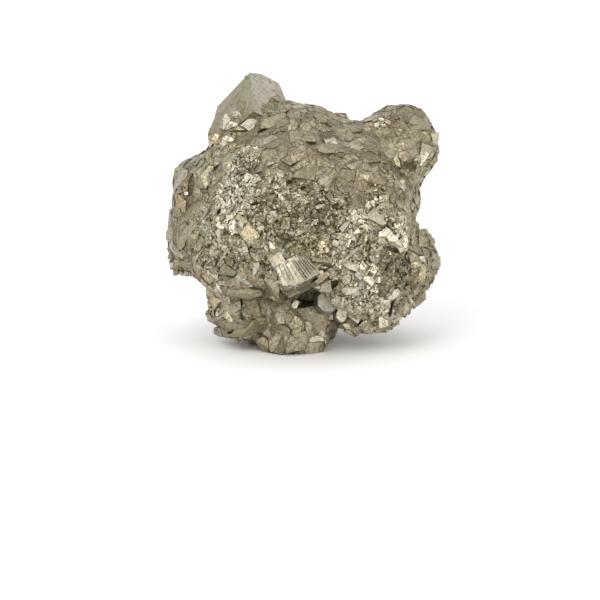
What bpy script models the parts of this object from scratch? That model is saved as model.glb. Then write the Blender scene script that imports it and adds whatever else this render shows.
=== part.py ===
"""A rough pyrite specimen, about 50 mm across: one mass of intergrown crystals that stands on a small
flat spot under its lowest lump.

The frame has +Z up and its origin in the middle of the base. The front, with the striated block over
the hollow, faces -Y, and +X is to its right. Sizes and places in the tables are in millimetres, from
the middle of the foot.
"""

import math
import random

import bmesh
import bpy
from mathutils import Euler, Matrix, Vector
from mathutils.bvhtree import BVHTree

MM = 0.001
SEED = 11
NODE = "pyrite"

# The body: name, middle, half sizes along x, y and z, and turn in degrees. They flow into each other.
LUMPS = [
    ("heart", (0.5, 1.0, 24.0), (18.4, 15.4, 16.2), (0, 0, 12)),
    ("peak", (-9.0, 6.6, 37.5), (6.6, 6.0, 7.0), (0, 24, 8)),
    ("crest", (-0.6, 4.0, 36.0), (9.0, 10.5, 6.4), (0, 14, 0)),
    ("saddle", (9.5, 3.0, 32.6), (9.0, 11.0, 6.4), (8, 0, 20)),
    ("knob", (17.6, 3.5, 35.4), (6.0, 8.0, 6.8), (0, -10, 15)),
    ("right_flank", (13.6, 1.0, 26.5), (6.6, 12.5, 10.0), (0, 0, -10)),
    ("right_bulge", (18.2, 2.5, 13.4), (5.0, 8.0, 6.2), (0, 10, 0)),
    ("right_foot", (11.8, -1.0, 9.8), (7.2, 10.0, 5.6), (0, -18, 10)),
    ("belly", (-1.0, -8.5, 22.5), (15.0, 8.6, 11.0), (14, 0, -4)),
    ("brow", (2.0, -4.5, 31.6), (13.5, 8.5, 5.5), (-20, 4, 0)),
    ("left_rim", (-18.4, 4.5, 20.6), (4.8, 8.0, 7.4), (0, 8, 0)),
    ("left_ear", (-17.5, 5.0, 28.4), (4.3, 7.0, 4.6), (0, -14, 10)),
    ("left_shoulder", (-11.2, 0.0, 31.6), (5.0, 8.0, 5.8), (10, 0, 20)),
    ("left_cheek", (-11.2, -5.5, 16.5), (7.2, 8.0, 7.0), (0, 12, 15)),
    ("left_foot", (-10.4, -1.0, 7.9), (5.4, 8.5, 5.8), (0, 12, 0)),
    ("foot", (-1.7, -1.4, 3.8), (6.2, 9.2, 7.0), (0, 0, 5)),
    ("right_cheek", (9.4, -10.6, 13.8), (5.4, 5.4, 5.0), (20, 0, 30)),
    ("right_brow", (14.0, -8.8, 21.6), (5.0, 4.8, 4.8), (0, 20, 10)),
    ("back_upper", (4.0, 10.5, 29.0), (12.5, 8.0, 9.5), (0, 0, 14)),
    ("back_left", (-9.5, 10.0, 22.5), (9.5, 8.5, 11.5), (0, 0, -18)),
    ("back_right", (9.5, 11.0, 16.5), (8.5, 7.5, 8.5), (0, 14, 0)),
    ("back_foot", (-3.0, 8.5, 9.5), (8.0, 7.5, 7.0), (0, 0, 24)),
]
GRAIN = 1.3  # the body's voxel, which also rounds the dips between lumps
BODY_SHARE = 0.12  # of the body's faces that are kept

# Where the crystals change: name, middle, reach, half size from and to, tilt from the surface in
# degrees, and how far the middle stands out, in half sizes.
ZONES = [
    ("upper_slope", (6, -3, 34), 12.0, (1.8, 2.8), 18, -0.7),
    ("skyline", (8, 5, 42), 10.0, (1.6, 2.5), 16, -0.8),
    ("peak", (-9, 6, 44), 8.0, (2.2, 3.2), 28, -0.7),
    ("belly", (-1, -15, 25), 14.0, (1.5, 2.3), 50, -0.5),
    ("lower_front", (-3, -8, 8), 12.0, (2.2, 3.2), 36, -0.6),
    ("right_cheek", (10, -14, 14), 7.0, (1.4, 2.1), 50, -0.45),
    ("left_side", (-20, 2, 22), 11.0, (1.8, 2.8), 34, -0.65),
    ("right_side", (21, 0, 22), 14.0, (1.8, 2.8), 32, -0.65),
    ("back", (0, 20, 24), 20.0, (2.2, 3.4), 36, -0.6),
]
TRIES = 9000  # places that are tried for a crystal
PACKING = 1.38  # the least gap between two crystals' middles, in the mean of their half sizes
STRETCH = (0.8, 1.25)  # how much each side of a crystal may differ from its size
KEPT_SHARE = 0.78  # of the joined mesh's triangles, the least needed of which are dropped

# The crystals that stand out at the front. Each is set on the body where a look from the front, VIEW
# degrees above level, meets it: name, place to the right and up as seen, half sizes along, across and
# deep, the way its broad face looks, the way it is long, and how far its middle stands out.
VIEW = 12
FOOT_FRONT = -9.0  # where the flat spot's front edge is, in y: the seen heights start there
FRONT_CRYSTALS = [
    ("striated_block", (-0.6, 15.2), (3.3, 4.3, 3.0), (0.05, -0.93, 0.36), (0.42, 0.0, -0.9), 0.9),
    ("block_side", (-5.4, 12.6), (2.8, 2.6, 2.0), (-0.35, -0.92, -0.1), (0.2, 0.0, -1.0), -0.6),
    ("grey_knob", (4.2, 9.7), (2.2, 2.3, 2.2), (0.12, -0.95, 0.3), (0.1, 0.0, -1.0), 0.2),
    ("foot_facet", (1.5, 6.2), (3.3, 2.8, 2.4), (0.1, -0.98, -0.08), (1.0, 0.0, 0.1), -1.0),
    ("small_striated", (7.6, 7.2), (1.2, 1.5, 1.2), (0.1, -0.9, 0.4), (0.1, 0.0, -1.0), 0.2),
    ("olive_facet", (-14.0, 13.6), (1.7, 1.7, 1.4), (-0.3, -0.85, -0.35), (1.0, 0.0, 0.0), -0.5),
    ("dark_facet", (-9.0, 9.0), (2.6, 1.9, 1.6), (-0.15, -0.95, -0.25), (0.1, 0.0, -1.0), -0.4),
    ("brown_facet", (-12.8, 9.6), (1.6, 1.5, 1.4), (-0.2, -0.97, 0.0), (1.0, 0.0, 0.2), -0.3),
    ("foot_left", (-6.0, 3.6), (2.2, 1.9, 1.8), (-0.2, -0.97, 0.1), (1.0, 0.0, 0.1), -0.6),
    ("gold_plate", (-10.1, 22.2), (3.2, 2.1, 1.5), (-0.12, -0.93, 0.35), (0.15, 0.0, -1.0), -0.2),
    ("bright_plate", (15.8, 21.3), (2.0, 1.5, 1.2), (0.1, -0.84, 0.54), (1.0, 0.0, -0.15), 0.1),
    ("bright_chip", (18.6, 21.4), (1.6, 1.1, 1.0), (0.35, -0.8, 0.48), (0.1, 0.0, -1.0), 0.1),
    ("white_facet", (-9.4, 42.0), (1.9, 1.6, 1.5), (0.1, -0.72, 0.68), (1.0, 0.0, -0.2), 0.0),
    ("tan_facet", (-4.8, 42.0), (2.2, 1.7, 1.6), (0.1, -0.5, 0.85), (1.0, 0.0, -0.1), -0.5),
    ("ledge_block", (-13.8, 39.2), (2.8, 2.2, 2.4), (-0.3, -0.75, 0.6), (1.0, 0.0, 0.25), -0.8),
]

# The block that makes the peak stands on a corner: middle, half size, and the way two faces look.
PEAK_MIDDLE = (-8.0, 7.0, 39.4)
PEAK_HALF = 5.5
PEAK_CLEAR = 1.2  # how far from it other crystals keep, in half sizes
PEAK_RIGHT_FACE = (0.625, -0.41, 0.66)
PEAK_LEFT_FACE = (-0.78, -0.41, 0.48)
# Two of its corners are broken off: the way each break looks, and how far it is, in half sizes.
PEAK_CHIPS = (((0.12, 0.1, 1.0), 1.5), ((1.0, 0.3, 0.2), 0.98))

# Pits at the front: name, place to the right and up as seen, half sizes, turn in degrees, and how far
# in the middle lies.
PITS = [
    ("under_block", (1.6, 10.6), (2.7, 2.4, 1.3), (0, -20, 0), 0.3),
    ("beside_brown", (-10.6, 10.6), (0.8, 2.0, 1.9), (0, 8, 0), 0.1),
    ("left_pit", (-15.2, 33.0), (0.9, 1.6, 0.8), (0, 20, 10), 0.0),
    ("ear_cleft", (-19.8, 28.9), (0.7, 2.2, 1.6), (0, 10, 0), 0.2),
    ("cheek_pit", (-19.6, 16.8), (0.8, 1.8, 1.4), (0, -20, 0), 0.0),
    ("right_pit", (13.0, 29.8), (1.3, 1.6, 0.7), (0, 15, 0), 0.0),
    ("flank_crease", (17.0, 14.0), (0.7, 2.2, 2.8), (0, 12, 0), 0.2),
    ("belly_cleft", (-6.0, 30.0), (2.4, 1.6, 0.6), (0, 24, 0), 0.0),
    ("plate_shadow", (16.4, 18.6), (1.6, 1.6, 0.7), (0, 30, 0), 0.0),
]


GROUND_HALF = 60.0  # of the block that cuts the flat spot

PALE_BRASS = (0.42, 0.37, 0.27, 1)
SATIN = 0.34  # the faces' roughness


def collection(name):
    made = bpy.data.collections.new(name)
    bpy.context.scene.collection.children.link(made)
    return made


def object_of(name, shape, home, helper=True):
    """An object of the bmesh, in that collection. A helper is only there for a Boolean."""
    mesh = bpy.data.meshes.new(name)
    shape.to_mesh(mesh)
    shape.free()
    made = bpy.data.objects.new(name, mesh)
    home.objects.link(made)
    if helper:
        made.hide_render = True
        made.display_type = "WIRE"
    return made


def turned(degrees):
    return Euler([math.radians(angle) for angle in degrees]).to_matrix()


def looking(facing, along):
    """A rotation that sets local +Z to facing, and local +X as near to along as that lets it."""
    deep = Vector(facing).normalized()
    across = deep.cross(Vector(along)).normalized()
    return Matrix((across.cross(deep), across, deep)).transposed()


def placed(shape, middle, turn, half):
    """The bmesh moved from the unit cube's place to its own. middle is in metres, half in millimetres."""
    stretch = Matrix.Diagonal([size * MM for size in half] + [1])
    shape.transform(Matrix.Translation(middle) @ turn.to_4x4() @ stretch)
    bmesh.ops.recalc_face_normals(shape, faces=shape.faces)
    return shape


def evaluated_mesh(made):
    graph = bpy.context.evaluated_depsgraph_get()
    return bpy.data.meshes.new_from_object(made.evaluated_get(graph))


def body_of_lumps(home):
    """The lumps as one flowing mass, in flat facets."""
    shape = bmesh.new()
    for _, middle, half, turn in LUMPS:
        place = Matrix.Translation(Vector(middle) * MM) @ turned(turn).to_4x4()
        place = place @ Matrix.Diagonal([size * MM for size in half] + [1])
        bmesh.ops.create_icosphere(shape, subdivisions=3, radius=1, matrix=place)
    body = object_of(NODE, shape, home, helper=False)
    remesh = body.modifiers.new("join lumps", "REMESH")
    remesh.mode = "VOXEL"
    remesh.voxel_size = GRAIN * MM
    smooth = body.modifiers.new("soften", "SMOOTH")
    smooth.factor = 0.5
    smooth.iterations = 4
    facets = body.modifiers.new("facets", "DECIMATE")
    facets.ratio = BODY_SHARE
    body.data = evaluated_mesh(body)
    body.modifiers.clear()
    return body


def cube():
    shape = bmesh.new()
    bmesh.ops.create_cube(shape, size=2)
    return shape


def chip(shape, way, depth):
    """Cut off what lies further than depth along that way, and close the cut."""
    level = Vector(way).normalized()
    whole = shape.verts[:] + shape.edges[:] + shape.faces[:]
    cut = bmesh.ops.bisect_plane(shape, geom=whole, plane_co=level * depth, plane_no=level, clear_outer=True)
    rim = [part for part in cut["geom_cut"] if isinstance(part, bmesh.types.BMEdge)]
    if rim:
        bmesh.ops.contextual_create(shape, geom=rim)


def broken_cube(rng):
    """A cube with two or three of its corners or edges broken off, none of them square to it."""
    shape = cube()
    for _ in range(rng.choice((1, 2, 2, 3))):
        way = [rng.choice((-1, 1)) * rng.uniform(0.35, 1.0) for _ in range(3)]
        chip(shape, way, rng.uniform(0.95, 1.25))
    return shape


def pyritohedron(rng):
    """The twelve-faced form that pyrite is named for: a cube's corners, and a roof on each side."""
    rise = rng.uniform(0.35, 0.5)
    reach, half_ridge = 1 + rise, 1 - rise * rise
    points = [Vector((x, y, z)) for x in (-1, 1) for y in (-1, 1) for z in (-1, 1)]
    for first in (-reach, reach):
        for second in (-half_ridge, half_ridge):
            points += [Vector((0, first, second)), Vector((first, second, 0)), Vector((second, 0, first))]
    shape = bmesh.new()
    for point in points:
        shape.verts.new(point * 0.8)
    bmesh.ops.convex_hull(shape, input=shape.verts)
    flat = math.radians(1)
    bmesh.ops.dissolve_limit(shape, angle_limit=flat, verts=shape.verts, edges=shape.edges)
    return shape


def plain_cube(rng):
    return cube()


def plate(rng):
    """A thick plate whose broad face keeps most of its outline, with two of its corners broken off."""
    shape = cube()
    for _ in range(2):
        way = (rng.choice((-1, 1)) * rng.uniform(0.7, 1.0), rng.choice((-1, 1)) * rng.uniform(0.5, 1.0), 0.2)
        chip(shape, way, rng.uniform(0.95, 1.15))
    return shape


HABITS = ((broken_cube, 0.6), (plain_cube, 0.2), (pyritohedron, 0.2))


def crystal(rng, middle, half, turn):
    """One crystal of a random habit. turn is a rotation matrix."""
    habit = rng.choices([h for h, _ in HABITS], [share for _, share in HABITS])[0]
    return placed(habit(rng), middle, turn, [half * rng.uniform(*STRETCH) for _ in range(3)])


def zone_at(point):
    """The zone that a point, in metres, lies deepest in."""
    return min(ZONES, key=lambda zone: (point / MM - Vector(zone[1])).length / zone[2])


def surface_points(rng, mesh, count):
    """Random points on a mesh, evenly by area, each with its normal."""
    mesh.calc_loop_triangles()
    triangles = list(mesh.loop_triangles)
    chosen = rng.choices(triangles, [t.area for t in triangles], k=count)
    for triangle in chosen:
        a, b, c = (mesh.vertices[i].co for i in triangle.vertices)
        u, v = rng.random(), rng.random()
        if u + v > 1:
            u, v = 1 - u, 1 - v
        yield a + (b - a) * u + (c - a) * v, triangle.normal


def leaning(rng, normal, tilt):
    """A rotation that sets a face of the cube to the normal, give or take the tilt, at a random spin."""
    upright = normal.to_track_quat("Z", "Y").to_matrix()
    spin = Euler((0, 0, rng.uniform(0, math.tau))).to_matrix()
    lean = turned([rng.gauss(0, tilt * 0.5), rng.gauss(0, tilt * 0.5), 0])
    return upright @ lean @ spin


def tree_of(made):
    return BVHTree.FromObject(made, bpy.context.evaluated_depsgraph_get())


def on_front(tree, right, up):
    """Where a look from the front meets the body, in metres."""
    tip = math.radians(VIEW)
    way = Vector((0, math.cos(tip), -math.sin(tip)))
    level = Vector((0, math.sin(tip), math.cos(tip)))
    base = Vector((0, FOOT_FRONT, 0)).dot(level)
    start = (Vector((right, 0, 0)) + level * (up + base)) * MM - way
    return tree.ray_cast(start, way)[0]


def grow_front_crystals(rng, tree, home):
    """The peak's block and the front's named crystals. It returns each one's middle and reach."""
    turn = looking(PEAK_RIGHT_FACE, PEAK_LEFT_FACE)
    middle = Vector(PEAK_MIDDLE) * MM
    block = cube()
    for way, depth in PEAK_CHIPS:
        chip(block, turn.inverted() @ Vector(way), depth)
    object_of("peak_block", placed(block, middle, turn, [PEAK_HALF] * 3), home)
    grown = [(middle, PEAK_HALF * PEAK_CLEAR)]
    for name, (right, up), half, facing, along, stand in FRONT_CRYSTALS:
        turn = looking(facing, along)
        middle = on_front(tree, right, up) + turn.col[2] * (stand - half[2] * 0.5) * MM
        object_of(name, placed(plate(rng), middle, turn, half), home)
        grown.append((middle, max(half)))
    return grown


def grow_crystals(rng, body, grown, home):
    """Crystals all over the body, each clear of the middles of those before it."""
    for point, normal in surface_points(rng, body.data, TRIES):
        _, _, _, sizes, tilt, rise = zone_at(point)
        half = rng.uniform(*sizes)
        if any((point - other).length < PACKING * (half + size) / 2 * MM for other, size in grown):
            continue
        grown.append((point, half))
        middle = point + normal * rise * half * MM
        shape = crystal(rng, middle, half, leaning(rng, normal, tilt))
        object_of(f"crystal_{len(grown)}", shape, home)


def boolean(made, name, operation, operands):
    modifier = made.modifiers.new(name, "BOOLEAN")
    modifier.operation = operation
    modifier.operand_type = "COLLECTION"
    modifier.collection = operands
    modifier.solver = "EXACT"


def ground_and_pits(tree, home):
    """What is cut away: all below the flat spot, and the pits of the front."""
    below = Vector((0, 0, -GROUND_HALF)) * MM
    object_of("ground", placed(cube(), below, Matrix.Identity(3), [GROUND_HALF] * 3), home)
    for name, (right, up), half, turn, deep in PITS:
        middle = on_front(tree, right, up) + Vector((0, deep, 0)) * MM
        shape = bmesh.new()
        bmesh.ops.create_icosphere(shape, subdivisions=1, radius=1)
        object_of(name, placed(shape, middle, turned(turn), half), home)


def outer_skin(mesh):
    """The mesh without the sealed hollows that crystals close off between them."""
    shape = bmesh.new()
    shape.from_mesh(mesh)
    left, pieces = set(shape.verts), []
    while left:
        piece, edge = set(), [left.pop()]
        while edge:
            vert = edge.pop()
            piece.add(vert)
            near = {e.other_vert(vert) for e in vert.link_edges} & left
            left -= near
            edge += near
        pieces.append(piece)
    largest = max(pieces, key=len)
    inner = [vert for piece in pieces if piece is not largest for vert in piece]
    bmesh.ops.delete(shape, geom=inner, context="VERTS")
    shape.to_mesh(mesh)
    shape.free()
    return mesh


def keep_evaluated(made):
    """Make what the modifiers give the object's own mesh, as one closed skin."""
    made.data = outer_skin(evaluated_mesh(made))
    made.modifiers.clear()


def settle(mesh):
    """Move the mesh so that the origin is in the middle of its base."""
    low = [min(vert.co[axis] for vert in mesh.vertices) for axis in range(3)]
    high = [max(vert.co[axis] for vert in mesh.vertices) for axis in range(3)]
    middle = Vector(((low[0] + high[0]) / 2, (low[1] + high[1]) / 2, low[2]))
    mesh.transform(Matrix.Translation(-middle))


def pyrite_material():
    made = bpy.data.materials.new("tarnished_pyrite")
    made.use_nodes = True
    shader = made.node_tree.nodes["Principled BSDF"]
    shader.inputs["Base Color"].default_value = PALE_BRASS
    shader.inputs["Metallic"].default_value = 1.0
    shader.inputs["Roughness"].default_value = SATIN
    return made


def main():
    for old in list(bpy.data.objects):
        bpy.data.objects.remove(old)
    rng = random.Random(SEED)
    specimen = collection("pyrite_specimen")
    body = body_of_lumps(specimen)
    crystals = collection("crystals")
    grown = grow_front_crystals(rng, tree_of(body), crystals)
    grow_crystals(rng, body, grown, crystals)
    boolean(body, "join crystals", "UNION", crystals)
    fewer = body.modifiers.new("fewer triangles", "DECIMATE")
    fewer.ratio = KEPT_SHARE
    fewer.use_collapse_triangulate = True
    keep_evaluated(body)
    cutters = collection("cutters")
    ground_and_pits(tree_of(body), cutters)
    boolean(body, "cut ground and pits", "DIFFERENCE", cutters)
    keep_evaluated(body)
    settle(body.data)
    body.data.materials.append(pyrite_material())


main()
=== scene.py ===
"""The looks of a rough pyrite specimen: its fine crystals, its tarnished faces, and a pale studio.

The CAD solid carries the form. Here small crystals grow all over it. In the smooth mosaic of the upper
slope they lie flush, and stop at each other with thin dark cracks between them. In the sugary belly they
stand every way and grow through each other. Larger crystals have places of their own, such as the
striated block at the front.
Sizes are in millimetres, and places at the front are pixels of the photograph.
"""

import math

import bmesh
import bpy
import numpy as np
from mathutils import Matrix, Vector
from mathutils.bvhtree import BVHTree
from mathutils.kdtree import KDTree


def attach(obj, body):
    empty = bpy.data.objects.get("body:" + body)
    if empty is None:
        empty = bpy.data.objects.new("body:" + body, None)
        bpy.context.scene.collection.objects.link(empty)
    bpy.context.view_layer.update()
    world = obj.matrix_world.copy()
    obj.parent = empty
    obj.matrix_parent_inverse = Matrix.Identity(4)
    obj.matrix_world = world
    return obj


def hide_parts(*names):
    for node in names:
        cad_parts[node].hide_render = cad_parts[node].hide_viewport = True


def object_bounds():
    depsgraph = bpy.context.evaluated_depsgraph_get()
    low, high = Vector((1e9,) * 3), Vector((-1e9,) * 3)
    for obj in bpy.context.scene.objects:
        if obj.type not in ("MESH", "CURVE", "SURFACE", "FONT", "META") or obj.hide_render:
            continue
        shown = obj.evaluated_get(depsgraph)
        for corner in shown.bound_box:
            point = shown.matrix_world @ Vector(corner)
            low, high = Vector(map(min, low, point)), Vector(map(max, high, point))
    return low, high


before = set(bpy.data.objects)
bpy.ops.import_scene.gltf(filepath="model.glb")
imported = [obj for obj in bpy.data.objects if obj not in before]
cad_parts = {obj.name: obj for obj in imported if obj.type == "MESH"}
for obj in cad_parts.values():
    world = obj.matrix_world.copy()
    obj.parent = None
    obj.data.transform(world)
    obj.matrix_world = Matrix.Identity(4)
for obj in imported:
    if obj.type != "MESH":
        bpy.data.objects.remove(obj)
cad_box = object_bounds()

MM = 0.001
SEED = 5
NODE = "pyrite"
MAIN_PIECE = "pyrite_mass"
GRAIN_PIECE = "pyrite_grains"

# The photograph's frame: its size in pixels, the real size of a pixel, how far the camera looks down
# and how far away it is, and where the lump's lowest edge and its middle line are.
FRAME_PX = 600
MM_PER_PX = 0.18
LOOK_DOWN = 12
CAMERA_AWAY = 800.0
BASE_PX = 355.5
MIDDLE_PX = 302.5
SENSOR = 36  # its width in millimetres

# How a face looks: the colour that the metal reflects, and its roughness.
# Of these, "white" is a painted highlight, brighter than the bare metal, and "dark" is painted shade.
LOOKS = {
    "tan": ((0.395, 0.352, 0.258), 0.44),
    "brown": ((0.325, 0.282, 0.200), 0.46),
    "olive": ((0.275, 0.256, 0.172), 0.42),
    "grey": ((0.385, 0.358, 0.290), 0.40),
    "silver": ((0.52, 0.488, 0.405), 0.34),
    "cream": ((0.58, 0.538, 0.430), 0.34),
    "gold": ((0.50, 0.438, 0.295), 0.36),
    "rose": ((0.42, 0.368, 0.292), 0.40),
    "white": ((0.68, 0.650, 0.550), 0.38),
    "pale": ((0.46, 0.435, 0.375), 0.36),
    "dark": ((0.13, 0.112, 0.070), 0.55),
    "umber": ((0.255, 0.218, 0.150), 0.47),
    "ground": ((0.285, 0.247, 0.175), 0.50),
}

# Which looks a stretch of surface is made of, and in what shares. The glitter and bright mixes hold the
# white look, a painted highlight, and the dark sugar holds the dark look, painted shade.
MIXES = {
    "mosaic": {"tan": 0.55, "brown": 0.2, "grey": 0.15, "rose": 0.1},
    "ridge": {"tan": 0.3, "olive": 0.4, "grey": 0.15, "brown": 0.15},
    "brown_mosaic": {"tan": 0.3, "brown": 0.4, "umber": 0.15, "grey": 0.05, "rose": 0.1},
    "dark_mosaic": {"brown": 0.45, "umber": 0.5, "rose": 0.05},
    "dim": {"brown": 0.4, "olive": 0.3, "umber": 0.3},
    "pale": {"tan": 0.35, "cream": 0.2, "grey": 0.3, "gold": 0.15},
    "glitter": {"silver": 0.35, "cream": 0.35, "white": 0.2, "rose": 0.1},
    "sugar": {"tan": 0.35, "cream": 0.25, "brown": 0.2, "silver": 0.2},
    "dark_sugar": {"brown": 0.35, "olive": 0.2, "tan": 0.2, "cream": 0.15, "dark": 0.1},
    "gold_sugar": {"gold": 0.6, "cream": 0.2, "brown": 0.2},
    "cream": {"cream": 0.65, "silver": 0.2, "tan": 0.15},
    "bright_cream": {"cream": 0.6, "white": 0.3, "tan": 0.1},
    "bright_glitter": {"white": 0.45, "cream": 0.35, "silver": 0.2},
    "lower": {"tan": 0.4, "brown": 0.35, "grey": 0.15, "pale": 0.1},
    "yellow": {"gold": 0.45, "cream": 0.3, "tan": 0.25},
    "dull": {"tan": 0.45, "brown": 0.25, "grey": 0.2, "olive": 0.1},
}

# How crystals that stop at each other grow: half size from and to, tilt from the surface in degrees, how
# far the middle stands out, how wide a crystal is and how far above the surface it may reach (all in half
# sizes, from and to), the most cuts that part it into smaller blocks, and the crack between two crystals.
GROWTHS = {
    "mosaic": ((0.7, 2.1), 6, (-1.0, -0.96), (1.5, 2.2), (0.0, 0.09), 3, 0.06),
    "fine_mosaic": ((0.45, 1.3), 10, (-1.0, -0.92), (1.5, 2.2), (0.0, 0.14), 2, 0.05),
    "blocks": ((0.8, 2.2), 11, (-1.0, -0.88), (1.4, 2.0), (0.0, 0.16), 2, 0.05),
}

# How crystals that grow through each other do: half length from and to, width and thickness in lengths,
# tilt from the surface in degrees, and how far the middle stands out, in lengths.
LOOSE_GROWTHS = {
    "rubble": ((0.5, 1.1), (0.6, 1.0), (0.5, 0.9), 26, (-0.6, -0.3)),
    "glitter": ((0.42, 1.2), (0.3, 0.7), (0.25, 0.5), 40, (-0.35, -0.1)),
    "sugar": ((0.42, 1.2), (0.3, 0.8), (0.3, 0.55), 60, (-0.45, -0.1)),
    "grit": ((0.45, 1.25), (0.4, 0.9), (0.3, 0.6), 40, (-0.45, -0.1)),
}
PACKING = 0.82  # the least gap between two crystals' middles, in the sum of their half sizes
LOOSE_PACKING = 0.48  # the same for those that grow through each other

# The stretches of the front, by how their crystals grow and by mix: the middle of each and its reach,
# in the photograph's pixels.
FRONT_ZONES = {
    ("blocks", "pale"): ((228, 122, 14), (428, 160, 13)),
    ("fine_mosaic", "ridge"): ((285, 108, 16), (320, 120, 16)),
    ("mosaic", "brown_mosaic"): ((292, 140, 24), (350, 138, 27)),
    ("mosaic", "dark_mosaic"): ((412, 128, 24), (350, 180, 24), (280, 160, 15)),
    ("fine_mosaic", "brown_mosaic"): ((395, 175, 22),),
    ("grit", "dark_sugar"): ((378, 186, 9), (345, 200, 16)),
    ("fine_mosaic", "pale"): ((213, 148, 18), (205, 178, 16)),
    ("glitter", "bright_glitter"): ((248, 164, 12), (243, 185, 14)),
    ("grit", "glitter"): ((232, 206, 14), (345, 228, 13), (315, 268, 10)),
    ("grit", "sugar"): ((288, 190, 16), (208, 242, 18), (255, 250, 16)),
    ("sugar", "sugar"): ((268, 210, 18),),
    ("sugar", "dark_sugar"): ((320, 212, 24),),
    ("grit", "cream"): ((381, 119, 9), (372, 214, 13), (398, 236, 12), (354, 275, 17)),
    ("sugar", "gold_sugar"): ((312, 242, 12),),
    ("grit", "pale"): ((203, 212, 18), (362, 250, 12)),
    ("blocks", "dull"): ((178, 215, 16), (178, 245, 16), (424, 250, 17), (430, 282, 14)),
    ("sugar", "bright_cream"): ((360, 292, 12),),
    ("grit", "dim"): ((393, 270, 20),),
    ("rubble", "dim"): ((404, 292, 15),),
    ("rubble", "yellow"): ((406, 306, 9),),
    ("grit", "bright_cream"): ((380, 311, 12),),
    ("rubble", "bright_cream"): ((350, 310, 13),),
    ("blocks", "yellow"): ((366, 330, 12), (220, 298, 13)),
    ("blocks", "lower"): ((246, 290, 12), (258, 312, 14), (232, 335, 14), (290, 342, 18)),
}

# The other stretches: middle and reach in millimetres.
SIDE_ZONES = {
    ("mosaic", "mosaic"): ((6, 8, 44, 12), (6, 18, 34, 12)),
    ("blocks", "mosaic"): ((-8, 13, 43, 9),),
    ("blocks", "dull"): ((-23, 4, 24, 9), (15, 15, 18, 10)),
    ("rubble", "lower"): ((-19, 10, 14, 8),),
    ("fine_mosaic", "mosaic"): ((24, 4, 30, 10),),
    ("rubble", "dull"): ((22, 5, 13, 9),),
    ("rubble", "sugar"): ((-13, 18, 24, 11),),
    ("grit", "sugar"): ((2, 20, 20, 9),),
    ("blocks", "lower"): ((-3, 14, 8, 10), (0, 2, 0, 9)),
}
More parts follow.
